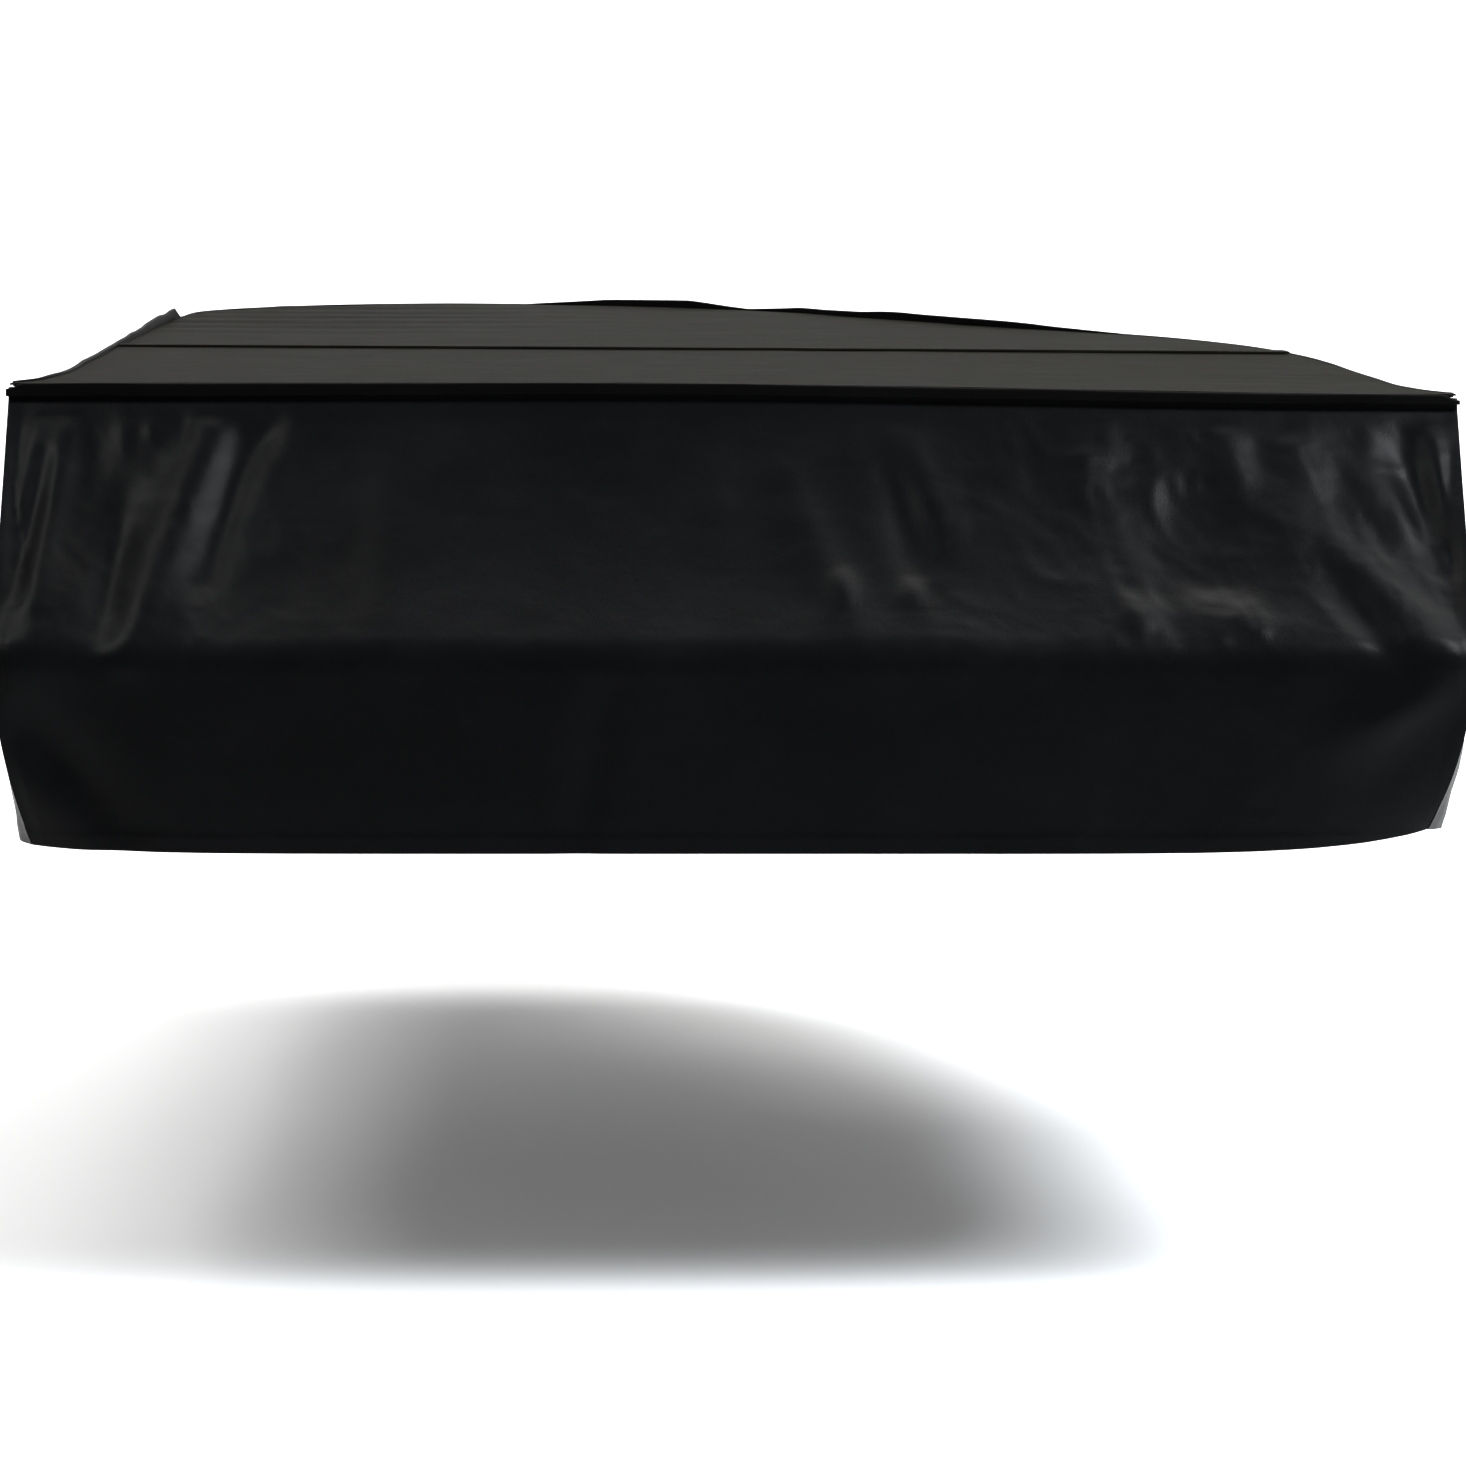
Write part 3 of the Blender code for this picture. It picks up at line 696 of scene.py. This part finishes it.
def four_sided_patch(front, rear, left, right):
    """Surface between four edges that share their corners: blend across, blend back, less both."""
    a = 0.5 * (chain_share(front) + chain_share(rear))[:, None, None]
    b = 0.5 * (chain_share(left) + chain_share(right))[None, :, None]
    between_front_rear = (1.0 - b) * front[:, None] + b * rear[:, None]
    between_sides = (1.0 - a) * left[None] + a * right[None]
    corners = (1.0 - a) * ((1.0 - b) * front[0] + b * rear[0])
    corners = corners + a * ((1.0 - b) * front[-1] + b * rear[-1])
    return between_front_rear + between_sides - corners


def edge_place(behind, side):
    """Place round the lid's edge that lies the given distance behind, on the left or right side."""
    spread = np.linspace(0.0, STATION_KNOTS[-1], 4001)
    edge = lid_edge(spread)
    half = spread < station_at("tail crown") if side == "left" else spread > station_at("tail crown")
    return spread[half][np.argmin(np.abs(edge[half, 1] - behind))]


def top_grid(plan, rise, seed):
    """The top's points: its plan at the lid's height, with faint crosswise waves and creases."""
    across = plan[..., 0]
    behind = plan[..., 1]
    waves = TOP_WAVE_HEIGHT * (soft_noise(across * 1.6 + 5.0, behind * 14.0 + 5.0, seed) - 0.5)
    creases = TOP_CREASE_HEIGHT * crumples(across * 0.45 + 3.0, behind + 3.0, TOP_CREASE_SIZE, seed + 5)
    left_rear = soft_step((-across - 0.05) / 0.5) * soft_step((behind - 0.7) / 0.3)
    wander = 3.0 * across + 0.6 * np.sin(9.0 * across)
    streaks = TOP_STREAK_HEIGHT * left_rear * np.sin(behind * 62.0 + wander)
    height = CLOTH + rise + waves + creases + streaks
    return settle(np.dstack((across, behind + LID_FRONT_Y, height)))


class PIANOCOVER_OT_top(bpy.types.Operator):
    """Make the top's front strip and its main panel, which laps over the strip at the cross seam"""

    bl_idname = "piano_cover.top"
    bl_label = "Top panels"

    def execute(self, context):
        # The top's colour holds a painted reflection of the bright backdrop, which makes it paler and
        # browner than the skirt.
        finish = coated_cloth("coated_cloth_top_painted_sheen", cloth_colours().top, 0.65, 0.55, 0.004)
        left_seam = edge_place(SEAM_BEHIND_LEFT, "left")
        right_seam = edge_place(SEAM_BEHIND_RIGHT, "right")
        rows = 90
        left = lid_edge(turning_places(0.0, left_seam, rows), TOP_EDGE_INSET)
        right = lid_edge(turning_places(right_seam, STATION_KNOTS[-1], rows), TOP_EDGE_INSET)[::-1]
        for chain in (left, right):
            chain[0, 1] = SEAM_GAP
            chain[-1, 1] += 0.5 * LAP
        front = np.linspace(left[0], right[0], 220)
        seam = np.linspace(left[-1], right[-1], 220)
        plan = four_sided_patch(front, seam, left, right)
        level = np.zeros(plan.shape[:2])
        self.add_panel("top_front_cloth", "top_front_panel", plan, level, finish, 31)
        corner = station_at("rear left corner")
        shoulder = station_at("tail shoulder")
        rows = 130
        left = lid_edge(turning_places(left_seam, corner, rows), TOP_EDGE_INSET)
        right = lid_edge(turning_places(shoulder, right_seam, rows), TOP_EDGE_INSET)[::-1]
        rear = lid_edge(turning_places(corner, shoulder, 190), TOP_EDGE_INSET)
        rear[0] = left[-1]
        rear[-1] = right[-1]
        for chain in (left, right):
            chain[0, 1] -= 0.5 * LAP
        front = np.linspace(left[0], right[0], len(rear))
        plan = four_sided_patch(front, rear, left, right)
        seam = np.interp(plan[..., 0], (left[0, 0], right[0, 0]), (left[0, 1], right[0, 1]))
        rise = LAP_RISE * soft_step(1.0 - (plan[..., 1] - seam - 1.6 * LAP) / LAP_RUN)
        self.add_panel("top_rear_cloth", "top_rear_panel", plan, rise, finish, 41)
        return {"FINISHED"}

    def add_panel(self, name, node, plan, rise, finish, seed):
        grid = top_grid(plan, rise, seed)
        piece = cloth_sheet(name, grid, cloth_thickness(), finish)
        size = plan.reshape(-1, 2).max(axis=0) - plan.reshape(-1, 2).min(axis=0)
        finish_piece(piece, node, surface_area(grid))


class PIANOCOVER_OT_front(bpy.types.Operator):
    """Make the front drop: from under the band to the knee, then down to the hem, with its folds"""

    bl_idname = "piano_cover.front"
    bl_label = "Front panel"

    def execute(self, context):
        finish = coated_cloth("coated_cloth_front", cloth_colours().skirt, 0.36, 0.0, 0.040)
        reach, height = drop_profile(down_parts(150))
        corners = skirt_point_grid(STATION_KNOTS[[-1, 0]], reach, height)
        even = np.linspace(0.0, 1.0, 310)[:, None]
        side = even - 0.05 * np.sin(2.0 * np.pi * even)
        right_end = corners[0, :, 0] - FRONT_END_INSET
        left_end = corners[1, :, 0] + FRONT_END_INSET
        across = right_end * (1.0 - side) + left_end * side
        to_corner = np.abs(2.0 * side - 1.0) ** 8
        end_y = np.where(side < 0.5, corners[0, :, 1], corners[1, :, 1])
        plane = LID_FRONT_Y - reach
        recess = STATION_ROWS[0, 1] * (1.0 - reach / KNEE_REACH)
        back = np.clip(end_y - plane - recess, 0.0, 1.0)
        end_z = np.where(side < 0.5, corners[0, :, 2], corners[1, :, 2])
        z = height + (end_z - height) * to_corner
        grid = np.dstack((across, plane + back * to_corner, z))
        inside = soft_step(side * (1.0 - side) / 0.012)
        sag = FRONT_SAG * np.sin(np.pi * np.clip(reach / KNEE_REACH, 0.0, 1.0))
        folds = segment_folds(across, z, FRONT_FOLDS)
        below_band = soft_step((-0.018 - z) / 0.03)
        lift = (folds + self.fine_crumples(across, z)) * below_band - sag
        hem = hem_step(np.clip(z - HEM_Z, 0.0, 1.0))
        grid = grid + normals(grid) * (lift * inside + hem)[..., None]
        grid = settle(grid)
        piece = cloth_sheet("front_cloth", grid, cloth_thickness(), finish)
        finish_piece(piece, "front_panel", None)
        return {"FINISHED"}

    def fine_crumples(self, across, z):
        """Crumples, strongest in the right third and at the left corner, calm in the middle."""
        depth = bpy.context.scene.piano_cover_sizes.crumple
        right = soft_step((across - 0.08) / 0.32)
        left = 0.55 * soft_step((-across - 0.30) / 0.25)
        above_knee = soft_step((z - KNEE_Z + 0.01) / 0.03)
        strength = (0.10 + right + left) * (0.22 + 0.78 * above_knee)
        broad = crumples(across * 1.15 + 0.35 * z + 4.0, -z + 4.0, FRONT_BROAD_CRUMPLE, 51)
        small = crumples(across + 0.5 * z + 8.0, -z + 8.0, FRONT_FINE_CRUMPLE, 61)
        knee_wave = 0.004 * (soft_noise(across * 7.0 + 20.0, z * 0.0 + 5.0, 71) - 0.5)
        near_knee = np.exp(-(((z - KNEE_Z) / 0.035) ** 2))
        return depth * strength * (broad + 0.35 * small) + knee_wave * near_knee


class PIANOCOVER_OT_skirt(bpy.types.Operator):
    """Make the side, tail and bent side panels, hanging from the lid's edge to the hem"""

    bl_idname = "piano_cover.skirt"
    bl_label = "Skirt panels"

    def execute(self, context):
        finish = coated_cloth("coated_cloth_skirt", cloth_colours().skirt, 0.40, 0.0, 0.040)
        for node, first, last, around, down, seed in SKIRT_PANELS:
            reach, height = drop_profile(down_parts(down))
            reach = np.concatenate(([0.0], reach))
            height = np.concatenate(([SKIRT_TOP_Z], height))
            start = station_at(first) + PANEL_GAP
            end = station_at(last) - PANEL_GAP
            where = turning_places(start, end, around)
            crumple = self.crumples_round(where, height, seed) * corner_fade(where)
            grid = skirt_point_grid(where, reach, height)
            lift = skirt_folds(where, height) + crumple + hem_step(height - HEM_Z)[None, :]
            grid = settle(grid + normals(grid) * lift[..., None])
            name = node.replace("panel", "cloth")
            piece = cloth_sheet(name, grid, cloth_thickness(), finish)
            length = float(station_at(last) - station_at(first))
            drop = float(np.hypot(np.diff(reach), np.diff(height)).sum())
            area = surface_area(grid)
            flat = (length + FLAT_EASE_ROUND, drop + FLAT_EASE_DOWN)
            finish_piece(piece, node, min(area, flat[0] * flat[1]))
        return {"FINISHED"}

    def crumples_round(self, where, height, seed):
        """Broad and fine crumples at places round the case, growing from the lid's edge down."""
        round_case = where[:, None] + 5.0
        down = -height[None, :]
        broad = crumples(round_case * 0.8, down + 5.0, SKIRT_BROAD_CRUMPLE, seed)
        fine = crumples(round_case, down + 9.0, SKIRT_FINE_CRUMPLE, seed)
        return (SKIRT_BROAD_HEIGHT * broad + SKIRT_FINE_HEIGHT * fine) * soft_step(down / 0.12)


def welt_section(width, foot, height):
    """Rounded upright section: sideways and upwards points, counter-clockwise along the strip."""
    half = 0.5 * width
    turn = np.linspace(0.0, np.pi, 9)[None, :]
    reach = np.minimum(half, 0.45 * (height - foot))[:, None]
    side = -half * np.cos(turn) * np.ones_like(reach)
    up = (height[:, None] - reach) + reach * np.sin(turn)
    low_side = np.tile((half, 0.6 * half, -0.6 * half), (len(height), 1))
    low_up = foot[:, None] + np.array((0.0004, 0.0, 0.0))
    last = np.full((len(height), 1), -half)
    across = np.hstack((side, low_side, last))
    upward = np.hstack((up, low_up, foot[:, None] + 0.0004))
    return np.stack((across, upward), axis=2)[:, :12]


class PIANOCOVER_OT_welts(bpy.types.Operator):
    """Make the band along the lid's front edge and the standing seams on its side edges"""

    bl_idname = "piano_cover.welts"
    bl_label = "Welts"

    def execute(self, context):
        finish = coated_cloth("coated_cloth_welt", cloth_colours().welt, 0.55, 0.0, 0.020)
        self.add_front_band(finish)
        from_corner = 0.012
        knob = station_at("rear left corner") + 0.010
        past_knob = knob + 0.001
        end = STATION_KNOTS[-1] - from_corner
        self.add_side_seam("left_seam_cloth", "left_welt", from_corner, knob, 420, finish)
        self.add_side_seam("right_seam_cloth", "right_welt", past_knob, end, 760, finish)
        return {"FINISHED"}

    def add_side_seam(self, name, node, first, last, count, finish):
        where = turning_places(first, last, count)
        edge = lid_edge(where)
        along = np.gradient(edge, axis=0)
        along /= np.linalg.norm(along, axis=1)[:, None]
        centres = np.column_stack((edge[:, 0], edge[:, 1] + LID_FRONT_Y, np.zeros(count)))
        sides = np.column_stack((along[:, 1], -along[:, 0], np.zeros(count)))
        ups = np.tile((0.0, 0.0, 1.0), (count, 1))
        table = np.array(WELT_HEIGHTS)
        rise = np.interp(where, table[:, 0], table[:, 1])
        uneven = 0.25 * (soft_noise(where * 16.0, where * 0.0 + 3.0, 81) - 0.5)
        height = CLOTH + rise * (1.0 + uneven)
        lean = 0.0016 * (soft_noise(where * 9.0, where * 0.0 + 7.0, 82) - 0.5)
        centres = centres + lean[:, None] * sides
        section = welt_section(WELT_WIDTH, np.full(count, WELT_FOOT_Z), height)
        piece = cloth_strip(name, settle(centres), sides, ups, section, finish)
        finish_piece(piece, node, None)

    def add_front_band(self, finish):
        count = 480
        half = 0.5 * (BAND_HIGH.x - BAND_LOW.x)
        across = half * np.sin(0.5 * np.pi * np.linspace(-1.0, 1.0, count))
        share = 0.5 + 0.5 * across / half
        to_end = half - np.abs(across)
        tall = BAND_LEFT_HEIGHT + (BAND_RIGHT_HEIGHT - BAND_LEFT_HEIGHT) * share
        uneven = 0.0008 * (soft_noise(across * 12.0 + 20.0, across * 0.0 + 2.0, 91) - 0.5)
        top = CLOTH + uneven - 0.006 * (1.0 - soft_step(to_end / 0.020))
        foot = CLOTH - tall + uneven
        depth = BAND_HIGH.y - BAND_LOW.y
        middle = np.full(count, 0.5 * (BAND_HIGH.y + BAND_LOW.y))
        centres = np.column_stack((across, middle, np.zeros(count)))
        sides = np.tile((0.0, -1.0, 0.0), (count, 1))
        ups = np.tile((0.0, 0.0, 1.0), (count, 1))
        section = welt_section(depth, foot, top)
        piece = cloth_strip("front_band_cloth", settle(centres), sides, ups, section, finish)
        finish_piece(piece, "front_welt", None)


class PIANOCOVER_OT_stage(bpy.types.Operator):
    """Make the floor, the backdrop, the lights and the camera"""

    bl_idname = "piano_cover.stage"
    bl_label = "Stage"

    def execute(self, context):
        sizes = context.scene.piano_cover_sizes
        self.add_backdrop(-sizes.floor_drop)
        self.add_lights()
        self.add_camera(sizes)
        world = context.scene.world or bpy.data.worlds.new("studio")
        context.scene.world = world
        world.use_nodes = True
        background = world.node_tree.nodes["Background"]
        background.inputs["Color"].default_value = (1.0, 1.0, 1.0, 1.0)
        background.inputs["Strength"].default_value = FILL_STRENGTH
        context.scene.view_settings.view_transform = "Standard"
        return {"FINISHED"}

    def add_backdrop(self, floor_z):
        """A floor that curves up into a wall: a straight run, a quarter circle, a straight rise."""
        start, turn_at, radius, height = -9.0, 5.0, 2.0, 7.0
        turn = np.linspace(0.0, 0.5 * np.pi, 24)
        run = np.concatenate(([start], turn_at + radius * np.sin(turn), [turn_at + radius]))
        rise = np.concatenate(([0.0], radius * (1.0 - np.cos(turn)), [height]))
        across = np.array((-11.0, 11.0))
        grid_x, grid_y = np.meshgrid(across, run, indexing="ij")
        grid = np.dstack((grid_x, grid_y, floor_z + np.tile(rise, (2, 1))))
        index = np.arange(grid[..., 0].size).reshape(2, -1)
        quads = np.stack((index[:-1, :-1], index[1:, :-1], index[1:, 1:], index[:-1, 1:]), axis=2)
        finish = plain_stage("studio_sweep", cloth_colours().floor)
        new_object("studio_sweep", grid.reshape(-1, 3), quads.reshape(-1, 4), finish)

    def add_area(self, name, place, aim, size, power, colour):
        light = bpy.data.lights.new(name, "AREA")
        light.shape = "RECTANGLE"
        light.size, light.size_y = size
        light.energy = power
        light.color = colour
        lamp = bpy.data.objects.new(name, light)
        bpy.context.scene.collection.objects.link(lamp)
        lamp.location = place
        direction = np.array(aim) - np.array(place)
        flat = np.hypot(direction[0], direction[1])
        lamp.rotation_euler = (np.arctan2(flat, -direction[2]), 0.0, np.arctan2(-direction[0], direction[1]))

    def add_lights(self):
        for row in LIGHTS:
            self.add_area(*row)

    def add_camera(self, sizes):
        camera = bpy.data.cameras.new("camera")
        camera.lens = CAMERA_LENS
        camera.sensor_width = 36.0
        camera.clip_end = 60.0
        holder = bpy.data.objects.new("camera", camera)
        bpy.context.scene.collection.objects.link(holder)
        holder.location = (0.0, LID_FRONT_Y - sizes.camera_distance, sizes.camera_height)
        holder.rotation_euler = (np.radians(90.0 - CAMERA_PITCH), 0.0, 0.0)
        bpy.context.scene.camera = holder


class PIANOCOVER_PT_sidebar(bpy.types.Panel):
    bl_idname = "PIANOCOVER_PT_sidebar"
    bl_label = "Piano Cover"
    bl_space_type = "VIEW_3D"
    bl_region_type = "UI"
    bl_category = "Piano Cover"

    def draw(self, context):
        for operator in OPERATORS:
            self.layout.operator(operator.bl_idname)
        for group in (context.scene.piano_cover_sizes, context.scene.piano_cover_colours):
            for name in group.__annotations__:
                self.layout.prop(group, name)


OPERATORS = (
    PIANOCOVER_OT_stage,
    PIANOCOVER_OT_top,
    PIANOCOVER_OT_front,
    PIANOCOVER_OT_skirt,
    PIANOCOVER_OT_welts,
)
CLASSES = (PianoCoverSizes, PianoCoverColours, *OPERATORS, PIANOCOVER_PT_sidebar)


def register():
    for kind in CLASSES:
        bpy.utils.register_class(kind)
    bpy.types.Scene.piano_cover_sizes = PointerProperty(type=PianoCoverSizes)
    bpy.types.Scene.piano_cover_colours = PointerProperty(type=PianoCoverColours)


def unregister():
    del bpy.types.Scene.piano_cover_sizes
    del bpy.types.Scene.piano_cover_colours
    for kind in reversed(CLASSES):
        bpy.utils.unregister_class(kind)


def main():
    register()
    bpy.ops.piano_cover.stage()
    bpy.ops.piano_cover.top()
    bpy.ops.piano_cover.front()
    bpy.ops.piano_cover.skirt()
    bpy.ops.piano_cover.welts()


if __name__ == "__main__":
    main()
